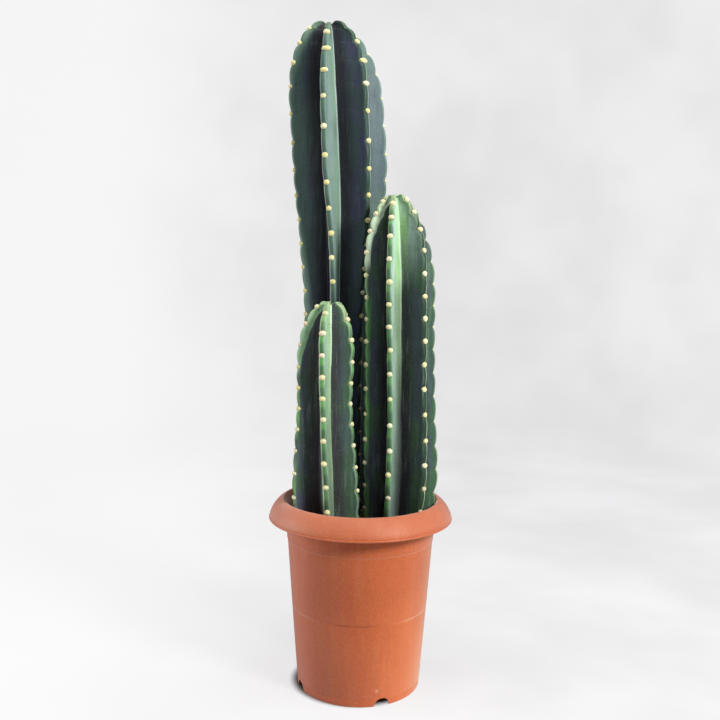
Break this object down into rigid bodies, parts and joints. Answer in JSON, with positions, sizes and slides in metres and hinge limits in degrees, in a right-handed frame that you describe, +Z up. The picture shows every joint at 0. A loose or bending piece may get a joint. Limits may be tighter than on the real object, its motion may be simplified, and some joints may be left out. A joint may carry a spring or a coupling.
{
  "type": "potted tall cactus",
  "caption": "Tall ribbed columnar cactus stems of different heights, planted in soil in a tapered terracotta-coloured plastic pot with a rolled rim.",
  "frame": {"origin": "on the pot's axis, at the surface that the pot stands on", "axes": "+Z up along the pot's axis, -Y towards the front that the picture shows, +X to the right seen from the front"},
  "size_m": [0.239, 0.239, 0.8619],
  "materials": {
    "pot_plastic": "matte, finely grained, terracotta-coloured moulded plastic",
    "potting_mix": "dark, crumbly, dry",
    "cactus_skin": "waxy blue-green skin with a pale bloom, and cream felt areoles"
  },
  "bodies": {
    "root": {"pot": "pot_plastic", "soil": "potting_mix", "stem_tall": "cactus_skin", "stem_middle": "cactus_skin", "stem_short": "cactus_skin"}
  },
  "joints": []
}
